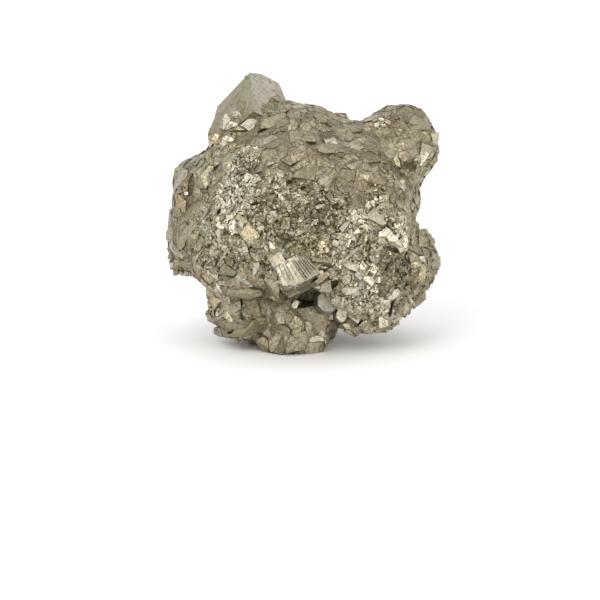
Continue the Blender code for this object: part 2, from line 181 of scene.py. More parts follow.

# The crystals of the front that have a place of their own: name, middle in the photograph's pixels, half
# sizes in millimetres (long, wide, deep), which way the broad face looks in degrees to the right and up,
# the way it is long as seen, in degrees anticlockwise from the right, how far it stands out, and look.
# Those with the white look carry a painted highlight.
FRONT_CRYSTALS = [
    ("block_side", (272, 282), (3.1, 1.7, 2.2), (-20, 6, -58), 1.0, "tan"),
    ("block_shoulder", (276, 258), (1.7, 1.2, 1.4), (-6, 20, -60), 0.5, "cream"),
    ("block_foot", (274, 297), (1.9, 0.8, 1.4), (-10, -2, -22), 0.3, "tan"),
    ("lip_left", (301, 291), (2.6, 0.5, 1.2), (0, 12, 27), 1.5, "grey"),
    ("lip_right", (321, 278), (1.9, 0.45, 1.2), (8, 10, 40), 1.4, "brown"),
    ("block_right", (322, 260), (1.7, 0.8, 1.4), (10, 26, -18), 0.2, "tan"),
    ("block_glitter", (313, 270), (0.9, 0.7, 1.2), (10, 20, -60), 0.5, "silver"),
    ("block_glitter_low", (319, 274), (0.8, 0.6, 1.2), (0, 25, 30), 0.6, "cream"),
    ("grey_knob", (326.5, 301), (2.4, 2.5, 3.2), (2, 12, 5), 4.6, "pale"),
    ("knob_cap", (326, 290.5), (0.8, 0.5, 1.2), (0, 40, 0), 3.2, "white"),
    ("foot_facet", (311, 320), (3.1, 2.5, 2.4), (3, -6, 5), 0.5, "umber"),
    ("small_striated", (341, 314), (1.6, 1.25, 1.9), (4, 10, 80), 2.3, "white"),
    ("small_white", (331, 317), (0.7, 0.5, 0.8), (-10, 20, 80), 0.8, "white"),
    ("under_dome_plate", (353, 318), (1.2, 0.8, 1.2), (10, 6, -30), 0.5, "cream"),
    ("under_dome_chip", (346, 326), (1.0, 0.5, 1.0), (6, 10, -10), 0.4, "cream"),
    ("white_splinter", (294, 307), (1.2, 0.45, 0.8), (-10, 25, 68), 0.4, "white"),
    ("olive_facet", (228, 272), (1.4, 1.2, 1.4), (-20, -10, -28), 0.4, "olive"),
    ("pale_band", (229, 283), (1.8, 0.4, 1.0), (-10, 26, -6), 0.2, "pale"),
    ("brown_slab", (243, 291), (2.9, 1.3, 1.5), (-12, 4, -8), 0.1, "brown"),
    ("round_facet", (233, 307), (1.5, 1.3, 1.4), (-12, 2, 10), 0.3, "tan"),
    ("pale_left", (216, 299), (1.9, 1.4, 1.4), (-38, 14, -70), 0.2, "gold"),
    ("big_brown", (256, 310), (2.7, 1.7, 1.6), (-9, -10, -82), 0.2, "brown"),
    ("dark_patch", (259, 321), (1.1, 0.7, 1.0), (0, -35, 0), 0.2, "olive"),
    ("low_slab", (244, 329), (3.1, 1.5, 1.7), (-16, -6, 8), 0.1, "brown"),
    ("low_edge", (234, 340), (2.3, 0.7, 1.3), (-20, -2, 2), 0.2, "tan"),
    ("foot_left", (276, 341), (1.7, 1.4, 1.6), (-14, 6, -75), 0.1, "grey"),
    ("foot_right", (296, 342), (2.0, 1.6, 1.6), (4, 6, 10), 0.1, "tan"),
    ("foot_bar", (316, 339), (1.3, 0.5, 1.0), (8, 25, 12), 0.3, "cream"),
    ("lower_facet", (366, 310), (1.3, 1.0, 1.2), (16, -4, 70), 0.3, "brown"),
    ("lower_tip", (369, 325), (1.8, 1.5, 1.6), (16, 4, 60), 0.4, "cream"),
    ("lower_grain", (395, 293), (0.9, 0.7, 1.0), (14, 6, 40), 0.3, "pale"),
    ("gold_fan", (248, 233), (1.9, 1.3, 1.4), (-8, 18, -50), 0.3, "gold"),
    ("gold_fan_foot", (254, 240), (1.2, 0.8, 1.2), (6, 8, -20), 0.3, "cream"),
    ("gold_blade", (241, 219), (1.3, 0.5, 1.0), (-8, 10, -35), 0.4, "gold"),
    ("gold_corner", (258, 243), (1.2, 1.0, 1.0), (6, 18, -40), 0.2, "tan"),
    ("white_tooth", (271, 246), (1.1, 0.45, 0.9), (-4, 28, -62), 0.4, "white"),
    ("bright_plate", (392, 238), (2.0, 0.9, 1.2), (8, 22, -38), 0.5, "white"),
    ("bright_head", (384, 233), (0.9, 0.8, 1.0), (-4, 30, 0), 0.6, "white"),
    ("bright_chip", (404, 240), (1.4, 0.7, 1.0), (14, 22, -70), 0.4, "white"),
    ("cream_shard", (399, 247), (0.9, 0.5, 0.9), (10, 18, -50), 0.5, "cream"),
    ("silver_shard", (345, 226), (1.1, 0.45, 0.9), (0, 20, 50), 0.4, "silver"),
    ("silver_sliver", (356, 220), (0.9, 0.4, 0.9), (6, 24, 75), 0.4, "cream"),
    ("long_streak", (350, 255), (2.1, 0.3, 0.9), (6, 16, 42), 0.25, "pale"),
    ("short_streak", (357, 251), (1.5, 0.25, 0.9), (6, 16, 46), 0.25, "cream"),
    ("dome_top", (351, 265), (1.4, 0.9, 1.2), (8, 26, -20), 0.4, "cream"),
    ("dome_left", (346, 278), (1.0, 0.8, 1.2), (0, 14, -60), 0.4, "cream"),
    ("dome_right", (369, 281), (1.1, 0.8, 1.2), (14, 14, -50), 0.3, "cream"),
    ("mosaic_pale", (331, 142), (1.0, 0.8, 1.2), (4, 30, 20), 0.2, "pale"),
    ("mosaic_dark", (322, 163), (1.5, 0.6, 1.2), (2, 16, -10), 0.15, "brown"),
    ("mosaic_long", (366, 160), (2.2, 0.7, 1.3), (4, 18, 5), 0.2, "umber"),
    ("mosaic_low", (375, 178), (1.9, 0.9, 1.3), (6, 12, -15), 0.2, "umber"),
    ("mosaic_plate", (342, 176), (2.0, 1.2, 1.3), (0, 14, -8), 0.2, "umber"),
    ("mosaic_edge", (400, 158), (1.5, 1.0, 1.3), (12, 16, 60), 0.2, "tan"),
    ("olive_edge", (427, 173), (1.0, 0.7, 1.0), (26, 8, 70), 0.2, "olive"),
    ("peak_foot_left", (225, 122), (1.3, 0.8, 1.2), (-24, 24, 62), 0.2, "pale"),
    ("cream_plate", (375, 218), (1.9, 1.0, 1.2), (6, 26, -55), 0.4, "cream"),
    ("white_facet", (251, 122), (2.0, 1.3, 1.5), (0, 12, 24), 0.3, "white"),
    ("pale_facet", (233, 124), (1.5, 0.6, 1.2), (-12, 30, 15), 0.1, "pale"),
    ("tan_facet", (274, 121), (2.1, 1.6, 1.6), (6, 40, -4), 0.1, "tan"),
    ("fan", (266, 142), (2.0, 1.7, 1.6), (10, 34, -30), 0.2, "grey"),
    ("under_fan", (267, 159), (1.8, 1.6, 1.5), (6, 26, 10), 0.1, "tan"),
    ("white_bar", (270, 164), (0.7, 0.25, 0.8), (6, 30, 32), 0.35, "white"),
    ("bright_left", (229, 139), (1.0, 0.8, 1.2), (-12, 30, 40), 0.2, "pale"),
    ("pale_left_high", (211, 140), (1.2, 0.8, 1.2), (-30, 24, 60), 0.1, "pale"),
    ("shoulder_facet", (205, 175), (2.0, 1.4, 1.4), (-24, 22, 70), 0.1, "tan"),
    ("ear_facet", (180, 180), (2.0, 1.2, 1.4), (-30, 16, 80), 0.1, "pale"),
    ("ear_dot", (187, 194), (0.5, 0.4, 0.6), (-15, 25, 0), 0.4, "white"),
    ("rim_facet", (181, 205), (2.0, 1.2, 1.3), (-26, 14, -70), 0.1, "gold"),
    ("rim_low", (170, 232), (1.7, 1.1, 1.3), (-40, 4, -80), 0.1, "grey"),
    ("rim_foot", (176, 252), (1.7, 1.3, 1.4), (-34, -22, -20), 0.1, "grey"),
    ("right_chip", (435, 137), (0.8, 0.7, 0.9), (25, 35, 20), 0.4, "white"),
    ("right_pale", (425, 156), (1.9, 1.1, 1.3), (22, 4, 65), 0.1, "grey"),
    ("knob_facet", (418, 124), (2.1, 1.7, 1.6), (14, 36, -20), 0.1, "tan"),
    ("slope_plate", (300, 137), (2.4, 1.5, 1.6), (2, 36, 12), 0.1, "tan"),
    ("slope_block", (353, 147), (1.4, 1.2, 1.4), (6, 36, 40), 0.2, "grey"),
    ("slope_flat", (305, 172), (1.9, 1.3, 1.4), (4, 30, -10), 0.1, "brown"),
    ("right_square", (422, 259), (0.8, 0.7, 1.0), (24, 12, 8), 0.2, "pale"),
    ("right_olive", (421, 273), (2.1, 1.5, 1.5), (24, 6, 75), 0.1, "olive"),
    ("right_rose", (429, 290), (1.8, 1.5, 1.5), (30, -4, 20), 0.1, "rose"),
    ("right_crown", (407, 305), (1.6, 1.3, 1.4), (22, 0, 30), 0.2, "tan"),
]
# Which of them are rounded knobs, and which have finely lined faces.
ROUND_CRYSTALS = ("grey_knob", "ear_dot", "small_striated")
LINED_CRYSTALS = ("grey_knob", "small_striated", "fan", "gold_fan", "right_pale", "lower_tip", "dome_left")

# Dark hollows and clefts between the crystals, painted dark as shade: name, middle in pixels, half sizes,
# and aim as above.
HOLLOWS = [
    ("recess", (309, 298), (2.4, 1.35, 1.8), (0, -8, 24)),
    ("recess_right", (333, 284), (1.2, 0.7, 1.2), (5, 0, 50)),
    ("pit", (216, 168), (0.55, 0.45, 0.9), (-15, 20, 60)),
    ("ear_cleft", (191, 184), (1.9, 0.75, 0.6), (-25, 10, 82)),
    ("rim_cleft", (192, 254), (1.1, 0.6, 0.7), (-25, 0, 80)),
    ("peak_pocket", (262, 130), (0.9, 0.35, 0.8), (0, 25, 20)),
    ("ledge", (238, 131), (2.2, 0.18, 0.6), (-5, 25, -3)),
    ("right_cleft", (391, 309), (1.7, 0.3, 1.0), (15, 0, 84)),
    ("right_hollow", (392, 249), (1.3, 0.5, 1.0), (12, 5, -25)),
    ("edge_cleft", (387, 266), (0.9, 0.4, 0.8), (15, 5, 60)),
    ("belly_pit", (290, 182), (0.5, 0.4, 0.8), (0, 25, 0)),
    ("belly_pit_right", (303, 188), (0.5, 0.35, 0.8), (0, 25, 40)),
    ("belly_pit_low", (335, 206), (0.7, 0.4, 0.8), (0, 20, 30)),
    ("lower_crack", (241, 303), (1.1, 0.3, 0.8), (-12, 0, 84)),
    ("lower_crack_foot", (242, 317), (0.9, 0.3, 0.8), (-12, 0, -70)),
    ("left_pit", (219, 212), (0.6, 0.3, 0.8), (-15, 15, 60)),
    ("middle_pit", (255, 204), (0.9, 0.25, 0.8), (-5, 20, 10)),
]

# How the crystals are shaped and coloured.
LINED_SHARE = 0.3  # of the fine crystals, those whose faces are finely lined
LINED = (0.3, 1.0)  # how strong the lines are on these
NAMED_LINED = 0.6  # and on the named ones

# How strong the fine worms and the painted highlights, the glints, are: on crystals that stop at each
# other and on rubble, on others that grow through each other, on the named ones, on the peak's block, and
# on the mass under them all.
FLUSH_WORMS_AND_GLINTS = 0.5
LOOSE_WORMS_AND_GLINTS = 1.0
NAMED_WORMS_AND_GLINTS = 0.45
PEAK_WORMS_AND_GLINTS = 0.3
CORE_WORMS_AND_GLINTS = 0.6

CRYSTAL_SHADES = 0.09  # how much crystals of one look differ in brightness, one from the other
FACE_SHADES = 0.05  # how much the faces of one crystal do
HUE_CHANCE = 0.012  # how much a face's hue differs from that of its look
ROUGH_CHANCE = 0.05  # and its roughness, at most
EDGE_WEAR = 0.07  # how far a crystal's edges are rounded
SHADE_REACH = 0.4  # how near another face has to be for painted shade to darken a crack
FLARE = 0.35  # how much wider a named crystal is at its base
BREAK_DEPTH = (0.65, 1.1)  # how far from the middle it is broken off, in half sizes
SPACE = 0.03  # the crack around a named crystal
TRIM_SLACK = 0.02  # a corner that stands out by less than this is left
NAMED_RISE = 0.2  # how much further than it should a corner of it may stand out
NAMED_MARGIN = 0.06  # how far off its faces nothing else starts to grow

# The block that makes the peak, as in the solid: middle, half size, the ways two of its faces look,
# and its broken corners, each the way it looks and how far it is in half sizes.
PEAK_MIDDLE = (-8.29, 5.9, 39.4)
PEAK_HALF = 5.5
# The right face is also the one that is painted paler, as painted light.
PEAK_RIGHT_FACE = (0.625, -0.41, 0.66)
PEAK_LEFT_FACE = (-0.78, -0.41, 0.48)
PEAK_MARGIN = 0.45  # how far off its faces nothing else grows
PEAK_CHIPS = (((0.12, 0.1, 1.0), 1.5), ((1.0, 0.3, 0.2), 1.05), ((-0.78, -0.15, 0.57), 1.05))

# What is taken off beside the peak: the middle of the slope that is left, the way this looks, the way
# that it is long, and half sizes.
PEAK_SHOULDER = (-13.1, 6.5, 42.0)
PEAK_SHOULDER_WAY = (-0.78, -0.15, 0.57)
PEAK_SHOULDER_LONG = (-0.6, -0.17, -0.78)
PEAK_SHOULDER_HALF = (5.6, 6.0, 2.0)

# The striated block: its middle in the photograph's pixels, half sizes, the way its face looks and is
# long, and its ridges, which run the long way: how many, how high, and how many of them are bright.
BLOCK_PIXEL = (296, 271)
BLOCK_HALF = (2.45, 3.1, 2.6)
BLOCK_FACE = (1, 18, -62)
BLOCK_PROUD = 0.9
RIDGES = 11
RIDGE_HEIGHT = 0.2
BRIGHT_RIDGES = 5
RIDGE_WIDTHS = (1.5, 1.0)  # the bright ones' share of the width, and the others'
RIDGE_REACH = (0.78, 1.0)  # how much of the face's length a ridge takes
RIDGE_FAN = (-6, 12)  # how far the first and the last are turned, in degrees

# The mass that carries the crystals, how they are cut, and how near they come to the solid's box.
FORM_GRAIN = 0.8  # the voxel of the worn form
FORM_WEAR = 6  # how many times it is smoothed
FORM_RISE = 0.1  # how far it is swollen again, for what the wear took
CORE_SINK = 0.15  # how far the mass lies under that form, which the crystals follow
TRIES = 120000  # random points of the form, of which those with room hold a crystal
CHIPS = (0, 1, 1, 2, 2, 2, 3, 3) * 4  # how many corners are broken off each shape that crystals take
CHIP_LEVELS = (0.8, 1.2)  # how far from the middle, in half sizes
DEPTH = (0.9, 1.1)  # a crystal's depth in half sizes
CUT_TURN = 0.25  # how much a cut through it turns away from its sides, in radians
CUT_LEAN = 0.15  # and how much it leans
CUT_SHIFT = 0.15  # and how far it lies off the middle, in half sizes
STEP = 0.12  # how far one block of a crystal lies under the next, at most
BLOCK_TILT = 4  # how much its top leans, in degrees
BOX_GAP = 0.02  # how far inside the solid's box the crystals stay

# The colours that lie over the faces' own: the tarnish where it is thick and where it is thin, stains,
# glints that are painted highlights, fine worms, cracks, and painted shade where crystals close in on each
# other.
TARNISH = ((0.86, 0.83, 0.745, 1), (1.05, 1.05, 1.01, 1))
STAIN = (0.19, 0.155, 0.09, 1)
GLINT = (0.68, 0.65, 0.55, 1)
WORM = (0.10, 0.081, 0.037, 1)
CRACK = (0.13, 0.106, 0.050, 1)
SHADE = (0.12, 0.097, 0.045, 1)

# The studio, in metres: the lights' names, places, sizes and watts, where they aim, and the floor.
LIGHTS = (("key", (-0.35, -0.55, 0.6), (0.5, 0.5), 2.6), ("fill", (0.5, -0.5, 0.15), (0.4, 0.3), 1.6))
LIGHT_AIM = (0, 0, 0.02)
FLOOR_REACH = 3.0
FLOOR_COLOUR = (0.97, 0.97, 0.97, 1)


# Convex solids, as a list of points and a list of faces that index them.

def cube(flare=0.0):
    """A cube of half size 1, whose sides spread by that much on the way down to its base."""
    points = [Vector((x * (1 + flare * (z < 0)), y * (1 + flare * (z < 0)), z))
              for x in (-1, 1) for y in (-1, 1) for z in (-1, 1)]
    faces = [[0, 1, 3, 2], [4, 6, 7, 5], [0, 4, 5, 1], [2, 3, 7, 6], [0, 2, 6, 4], [1, 5, 7, 3]]
    return points, faces


def clipped(solid, normal, level):
    """What is left of a convex solid below a plane, or None. A plane too near to a face cuts nothing."""
    points, faces = solid
    heights = [point.dot(normal) - level for point in points]
    if max(heights) < 0:
        return solid
    if min(heights) >= 0:
        return None
    points = list(points)
    crossings, following, kept = {}, {}, []
    for face in faces:
        part, entry, leave = [], None, None
        for before, after in zip(face, face[1:] + face[:1]):
            inside = heights[before] < 0
            if inside:
                part.append(before)
            if inside != (heights[after] < 0):
                edge = (min(before, after), max(before, after))
                if edge not in crossings:
                    share = heights[before] / (heights[before] - heights[after])
                    crossings[edge] = len(points)
                    points.append(points[before].lerp(points[after], share))
                part.append(crossings[edge])
                if inside:
                    leave = crossings[edge]
                else:
                    entry = crossings[edge]
        if part:
            kept.append(part)
        if leave is not None:
            following[entry] = leave
    cap = [next(iter(following))]
    while len(cap) < len(following) and following[cap[-1]] in following:
        cap.append(following[cap[-1]])
    if following[cap[-1]] != cap[0] or len(set(cap)) < len(cap):
        return solid
    kept.append(cap)
    used = sorted({corner for face in kept for corner in face})
    place = {corner: number for number, corner in enumerate(used)}
    return [points[corner] for corner in used], [[place[corner] for corner in face] for face in kept]


def chipped_cube(rng, chips):
    """A cube of half size 1 with that many corners or edges broken off."""
    solid = cube()
    for _ in range(chips):
        way = Vector(rng.choice((-1, 1), 3) * rng.uniform(0.3, 1.0, 3)).normalized()
        solid = clipped(solid, way, rng.uniform(*CHIP_LEVELS))
    return solid


def plate(rng):
    """A block of half size 1 whose broad face is broken into an uneven shape."""
    solid = cube(FLARE)
    start = rng.uniform(0, math.tau)
    breaks = rng.integers(1, 4)
    for number in range(breaks):
        angle = start + (number + rng.uniform(-0.3, 0.3)) * math.tau / breaks
        way = Vector((math.cos(angle), math.sin(angle), rng.uniform(-0.1, 0.4))).normalized()
        solid = clipped(solid, way, rng.uniform(*BREAK_DEPTH))
    return solid


def knob(rng):
    """A rounded block of half size 1: many small faces around its sides and its broad face."""
    solid = cube()
    for count, height, level in ((9, 0.0, 0.98), (8, 0.3, 1.0)):
        start = rng.uniform(0, math.tau)
        for number in range(count):
            angle = start + math.tau * number / count
            way = Vector((math.cos(angle), math.sin(angle), height)).normalized()
            solid = clipped(solid, way, level * rng.uniform(0.97, 1.03))
    return solid


def placed(solid, middle, turn, sizes):
    """The solid stretched by its half sizes, turned and set at its middle."""
    matrix = Matrix.Translation(middle) @ turn.to_4x4() @ Matrix.Diagonal([*sizes, 1])
    return [matrix @ point for point in solid[0]], solid[1]


def planes_of(solid):
    """The outward normals and the levels of a convex solid's faces."""
    points, faces = solid
    normals, levels = [], []
    for face in faces:
        a, b, c = (points[corner] for corner in face[:3])
        normal = (b - a).cross(c - a).normalized()
        normals.append(np.array(normal))
        levels.append(normal.dot(a))
    return np.array(normals), np.array(levels)


# Meshes.

def evaluated_mesh(made):
    graph = bpy.context.evaluated_depsgraph_get()
    return bpy.data.meshes.new_from_object(made.evaluated_get(graph))


def linked(name, mesh):
    made = bpy.data.objects.new(name, mesh)
    bpy.context.scene.collection.objects.link(made)
    return made


def removed(made):
    mesh = made.data
    bpy.data.objects.remove(made)
    bpy.data.meshes.remove(mesh)


def welded(mesh):
    """A copy of an imported mesh with its split corners joined, so that it is closed."""
    shape = bmesh.new()
    shape.from_mesh(mesh)
    bmesh.ops.remove_doubles(shape, verts=shape.verts, dist=1e-6)
    made = bpy.data.meshes.new("welded")
    shape.to_mesh(made)
    shape.free()
    return made


def worn(mesh):
    """The solid with its crystals' edges worn down: the form that the fine crystals follow."""
    form = linked("form", mesh)
    remesh = form.modifiers.new("remesh", "REMESH")
    remesh.mode = "VOXEL"
    remesh.voxel_size = FORM_GRAIN * MM
    smooth = form.modifiers.new("smooth", "SMOOTH")
    smooth.factor = 0.5
    smooth.iterations = FORM_WEAR
    made = evaluated_mesh(form)
    removed(form)
    return made


def of_vertices(mesh, field):
    values = np.zeros(len(mesh.vertices) * 3)
    mesh.vertices.foreach_get(field, values)
    return values


def swollen(mesh, rise):
    """The mesh with its surface moved out by that much, in metres."""
    made = mesh.copy()
    made.vertices.foreach_set("co", of_vertices(mesh, "co") + of_vertices(mesh, "normal") * rise)
    made.update()
    return made


def surface_points(rng, mesh, count):
    """Random points on a mesh, evenly by area, and the normals there."""
    mesh.calc_loop_triangles()
    corners = np.zeros(len(mesh.loop_triangles) * 3, int)
    mesh.loop_triangles.foreach_get("vertices", corners)
    triangles = of_vertices(mesh, "co").reshape(-1, 3)[corners.reshape(-1, 3)]
    cross = np.cross(triangles[:, 1] - triangles[:, 0], triangles[:, 2] - triangles[:, 0])
    area = np.linalg.norm(cross, axis=1)
    chosen = rng.choice(len(area), count, p=area / area.sum())
    u, v = rng.random(count), rng.random(count)
    over = u + v > 1
    u[over], v[over] = 1 - u[over], 1 - v[over]
    a, b, c = (triangles[chosen, corner] for corner in range(3))
    return a + (b - a) * u[:, None] + (c - a) * v[:, None], cross[chosen] / area[chosen, None]


# The camera, and places by the photograph's pixels.

def camera_axes():
    """The way that the camera looks, and the way that is up in its picture."""
    tip = math.radians(LOOK_DOWN)
    return Vector((0, math.cos(tip), -math.sin(tip))), Vector((0, math.sin(tip), math.cos(tip)))


def make_camera():
    way, level = camera_axes()
    base = min(vert.co.dot(level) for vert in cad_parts[NODE].data.vertices)
    up = base + (BASE_PX - FRAME_PX / 2) * MM_PER_PX * MM
    right = (FRAME_PX / 2 - MIDDLE_PX) * MM_PER_PX * MM
    target = Vector((right, 0, 0)) + level * up
    data = bpy.data.cameras.new("camera")
    data.sensor_width = SENSOR
    data.lens = SENSOR * CAMERA_AWAY / (FRAME_PX * MM_PER_PX)
    data.clip_end = 10
    camera = bpy.data.objects.new("camera", data)
    camera.location = target - way * CAMERA_AWAY * MM
    camera.rotation_euler = (math.pi / 2 - math.radians(LOOK_DOWN), 0, 0)
    bpy.context.scene.collection.objects.link(camera)
    bpy.context.scene.camera = camera
    return camera


def at_pixel(tree, camera, pixel):
    """The surface point that the photograph shows at a pixel, or the nearest to it past the outline."""
    way, level = camera_axes()
    right = (pixel[0] - FRAME_PX / 2) * MM_PER_PX
    up = (FRAME_PX / 2 - pixel[1]) * MM_PER_PX
    ray = way * CAMERA_AWAY + Vector((right, 0, 0)) + level * up
    point = tree.ray_cast(camera.location, ray)[0]
    return point or tree.find_nearest(camera.location + ray * MM)[0]


# The fine crystals.

def zones_of(tree, camera):
    """Every zone's middle in metres, its reach, growth and mix."""
    zones = []
    for kind, places in FRONT_ZONES.items():
        for *pixel, reach in places:
            zones.append((at_pixel(tree, camera, pixel), reach * MM_PER_PX * MM, *kind))
    for kind, places in SIDE_ZONES.items():
        for *middle, reach in places:
            zones.append((Vector(middle) * MM, reach * MM, *kind))
    return zones


def zone_numbers(zones, points):
    """For each point, the zone that it lies deepest in."""
    depths = [np.linalg.norm(points - np.array(middle), axis=1) / reach for middle, reach, _, _ in zones]
    return np.argmin(depths, axis=0)


def chosen_seeds(rng, points, numbers, zones):
    """Which of the points hold a crystal, and how large each one's half size is."""
    growths = [GROWTHS.get(growth) or LOOSE_GROWTHS[growth] for _, _, growth, _ in zones]
    lows = np.array([growth[0][0] for growth in growths])[numbers]
    highs = np.array([growth[0][1] for growth in growths])[numbers]
    packings = np.array([PACKING if zone[2] in GROWTHS else LOOSE_PACKING for zone in zones])[numbers]
    left = 1 - np.arange(len(points)) / len(points)
    halves = (lows + (highs - lows) * rng.random(len(points)) * left ** 3) * MM
    rooms = halves * packings
    cell = 2 * (highs * packings).max() * MM
    keys = np.floor(points / cell).astype(int)
    steps = [(x, y, z) for x in (-1, 0, 1) for y in (-1, 0, 1) for z in (-1, 0, 1)]
    taken, chosen = {}, []
    for index, (point, room, key) in enumerate(zip(points.tolist(), rooms.tolist(), keys.tolist())):
        x, y, z = point
        near = (other for step in steps
                for other in taken.get((key[0] + step[0], key[1] + step[1], key[2] + step[2]), ()))
        if all((x - ox) ** 2 + (y - oy) ** 2 + (z - oz) ** 2 > (room + other) ** 2
               for ox, oy, oz, other in near):
            taken.setdefault(tuple(key), []).append((x, y, z, room))
            chosen.append(index)
    return np.array(chosen), halves[chosen]


def leaning(rng, normal, tilt):
    """A rotation that sets a face of the cube to the normal, give or take the tilt, at a random spin."""
    upright = normal.to_track_quat("Z", "Y").to_matrix()
    spin = Matrix.Rotation(rng.uniform(0, math.tau), 3, "Z")
    lean = Matrix.Rotation(math.radians(rng.normal(0, tilt * 0.5)), 3, "X")
    lean = lean @ Matrix.Rotation(math.radians(rng.normal(0, tilt * 0.5)), 3, "Y")
    return upright @ lean @ spin


def trimmed(tree, solid, seed, rise):
    """A crystal without what stands out of the form by more than that, in metres, where it bends away."""
    for corner in list(solid[0]):
        foot, normal, _, _ = tree.find_nearest(corner)
        level = normal.dot(foot) + rise
        if normal.dot(corner) > level + TRIM_SLACK * MM and normal.dot(seed) < level:
            solid = clipped(solid, normal, level)
    return solid


def picked_look(rng, mix):
    shares = MIXES[mix]
    return str(rng.choice(list(shares), p=list(shares.values())))


def grown(rng, tree, points, normals, halves, numbers, zones):
    """The crystals that stop at each other, before they do, and those that grow through each other."""
    shapes = [chipped_cube(rng, chips) for chips in CHIPS]
    stopping, loose = [], []
    for place, face_normal, half, number in zip(points, normals, halves, numbers):
        _, _, growth, mix = zones[number]
        point, normal = Vector(place), Vector(face_normal)
        shape = shapes[rng.integers(len(shapes))]
        crystal = {"point": point, "half": half, "normal": normal, "look": picked_look(rng, mix)}
        if growth in GROWTHS:
            (_, largest), tilt, stand, width, lift, cuts, gap = GROWTHS[growth]
            turn = leaning(rng, normal, tilt)
            sizes = [half * rng.uniform(*width), half * rng.uniform(*width), half * rng.uniform(*DEPTH)]
            solid = placed(shape, point + normal * rng.uniform(*stand) * half, turn, sizes)
            foot = max(half, 2 * CORE_SINK * MM)
            solid = clipped(solid, -normal, foot - normal.dot(point))
            rise = rng.uniform(*lift) * half
            solid = clipped(solid, normal, normal.dot(point) + rise)
            solid = trimmed(tree, solid, point - normal * CORE_SINK * MM, rise)
            crystal["rugged"] = FLUSH_WORMS_AND_GLINTS
            crystal["gap"] = gap * MM
            crystal["cuts"] = int(rng.uniform(0, 1) + cuts * half / (largest * MM))
            stopping.append(crystal)
        else:
            _, wide, thick, tilt, stand = LOOSE_GROWTHS[growth]
            turn = leaning(rng, normal, tilt)
            sizes = [half, half * rng.uniform(*wide), half * rng.uniform(*thick)]
            solid = placed(shape, point + normal * rng.uniform(*stand) * half, turn, sizes)
            crystal["rugged"] = FLUSH_WORMS_AND_GLINTS if growth == "rubble" else LOOSE_WORMS_AND_GLINTS
            loose.append(crystal)
        crystal["solid"], crystal["turn"] = solid, turn
        crystal["reach"] = max((corner - point).length for corner in solid[0])
        crystal["lined"] = rng.uniform(*LINED) if rng.random() < LINED_SHARE else 0.0
    return stopping, loose


def box_planes():
    """The solid's box, a little inside its sides and top, and at its base."""
    low, high = cad_box
    gap = BOX_GAP * MM
    levels = [-low[0] - gap, -low[1] - gap, 0, high[0] - gap, high[1] - gap, high[2] - gap]
    return np.concatenate([-np.eye(3), np.eye(3)]), np.array(levels)


def limits(crystal, named):
    """The planes that keep it inside the box and off the named crystals, or None if it is too near one."""
    seed = np.array(crystal["point"])
    normals, levels = box_planes()
    for other in named:
        if np.linalg.norm(other["middle"] - seed) < crystal["reach"] + other["reach"]:
            heights = other["normals"] @ seed - other["levels"]
            best = heights.argmax()
            if heights[best] < other["margin"]:
                return None
            normals = np.vstack([normals, -other["normals"][best]])
            levels = np.append(levels, -other["levels"][best] - SPACE * MM)
    return normals, levels


def cut_back(crystal, normals, levels):
    """The crystal without what lies past any of the planes, nearest first, or None."""
    seed = np.array(crystal["point"])
    solid = crystal["solid"]
    corners = np.array([corner[:] for corner in solid[0]])
    cutting = (corners @ normals.T).max(axis=0) > levels
    normals, levels = normals[cutting], levels[cutting]
    for plane in np.argsort(levels - normals @ seed):
        solid = clipped(solid, Vector(normals[plane]), levels[plane])
        if solid is None:
            return None
    return {**crystal, "solid": solid}


def parted(crystals, named):
    """The crystals cut back to where they meet their neighbours, the named crystals and the box."""
    places = KDTree(len(crystals))
    for index, crystal in enumerate(crystals):
        places.insert(crystal["point"], index)
    places.balance()
    reaches = np.array([crystal["reach"] for crystal in crystals])
    halves = np.array([crystal["half"] for crystal in crystals])
    seeds = np.array([crystal["point"][:] for crystal in crystals])
    kept = []
    for index, crystal in enumerate(crystals):
        seed, reach = seeds[index], reaches[index]
        around = limits(crystal, named)
        if around is None:
            continue
        found = places.find_range(crystal["point"], reach + reaches.max())
        near = np.array([other for _, other, _ in found if other != index])
        away = seeds[near] - seed
        distance = np.linalg.norm(away, axis=1)
        touching = distance < reach + reaches[near]
        near, away, distance = near[touching], away[touching], distance[touching]
        share = 0.5 + (halves[index] ** 2 - halves[near] ** 2) / (2 * distance ** 2)
        normals = away / distance[:, None]
        levels = normals @ seed + distance * share - crystal["gap"] / 2
        normals = np.concatenate([normals, around[0]])
        kept.append(cut_back(crystal, normals, np.concatenate([levels, around[1]])))
    return [crystal for crystal in kept if crystal]


def kept_clear(crystals, named):
    """The crystals that grow through each other, cut back to the named crystals and the box."""
    kept = []
    for crystal in crystals:
        around = limits(crystal, named)
        if around:
            kept.append(cut_back(crystal, *around))
    return [crystal for crystal in kept if crystal]


